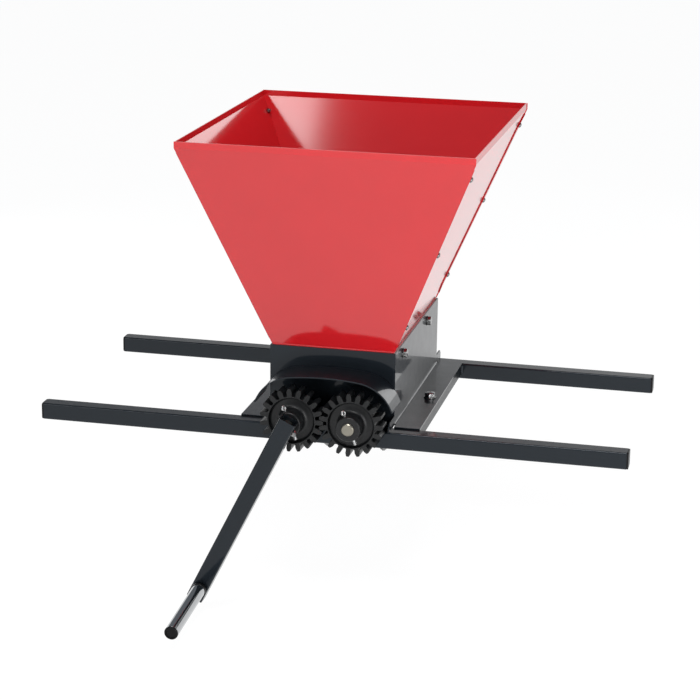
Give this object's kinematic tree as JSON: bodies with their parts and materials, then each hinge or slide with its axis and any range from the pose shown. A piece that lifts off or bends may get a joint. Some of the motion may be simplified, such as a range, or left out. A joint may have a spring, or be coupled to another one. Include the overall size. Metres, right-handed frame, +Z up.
{
  "type": "grape crusher",
  "caption": "Hand-cranked grape crusher: a flared sheet hopper over two fluted rollers, turned by a crank through an open gear pair, on two square bars that lie across a vat.",
  "frame": {"origin": "midway between the two support bars, at the level of their undersides", "axes": "+X along the support bars, to the right as seen from the crank; -Y towards the person at the crank; +Z up"},
  "size_m": [0.95, 0.7127, 0.7309],
  "materials": {
    "red_paint": "gloss powder coat",
    "black_paint": "gloss enamel, blue-black",
    "black_casting": "satin black paint",
    "cast_aluminium": "as cast, satin",
    "bright_steel": "turned",
    "zinc": "bright zinc plate",
    "chrome": "polished",
    "black_plastic": "moulded",
    "nylon": "machined"
  },
  "bodies": {
    "frame": {"front_bar": "black_paint", "rear_bar": "black_paint", "bar_end_caps": "black_plastic", "left_rail": "black_paint", "right_rail": "black_paint", "left_wall": "black_paint", "right_wall": "black_paint", "front_wall": "black_paint", "rear_wall": "black_paint", "hopper_front_panel": "red_paint", "hopper_rear_panel": "red_paint", "hopper_left_panel": "red_paint", "hopper_right_panel": "red_paint", "hopper_screws": "zinc", "hopper_nuts": "zinc", "wall_bolts": "zinc", "wall_washers": "zinc", "wall_nuts": "zinc", "foot_bolts": "zinc", "foot_washers": "zinc", "foot_nuts": "zinc", "gear_guard": "black_paint", "drive_front_bush": "nylon", "drive_rear_bush": "nylon", "driven_front_bush": "nylon", "driven_rear_bush": "nylon"},
    "drive": {"drive_shaft": "bright_steel", "drive_roller": "cast_aluminium", "drive_roller_pins": "bright_steel", "drive_gear": "black_casting", "drive_hub_bolt": "zinc", "crank_arm": "black_paint", "crank_bolt": "zinc", "crank_nut": "zinc", "handle_pin": "bright_steel", "handle_pin_nut": "zinc"},
    "driven": {"driven_shaft": "bright_steel", "driven_roller": "cast_aluminium", "driven_roller_pins": "bright_steel", "driven_gear": "black_casting", "driven_hub_bolt": "zinc"},
    "handle": {"handle_sleeve": "chrome", "handle_cap": "black_plastic"}
  },
  "joints": [
    {"name": "drive_spin", "type": "hinge", "parent": "frame", "child": "drive", "pos_m": [-0.0475, 0, 0.0455], "axis": [0, 1, 0], "continuous": true},
    {"name": "driven_spin", "type": "hinge", "parent": "frame", "child": "driven", "pos_m": [0.0475, 0, 0.0455], "axis": [0, 1, 0], "continuous": true},
    {"name": "handle_spin", "type": "hinge", "parent": "drive", "child": "handle", "pos_m": [-0.18216, -0.2915, -0.22816], "axis": [0, 0.9962, 0.0872], "continuous": true}
  ],
  "couplings": [
    {"joint": "driven_spin", "follows": "drive_spin", "ratio": -1}
  ]
}
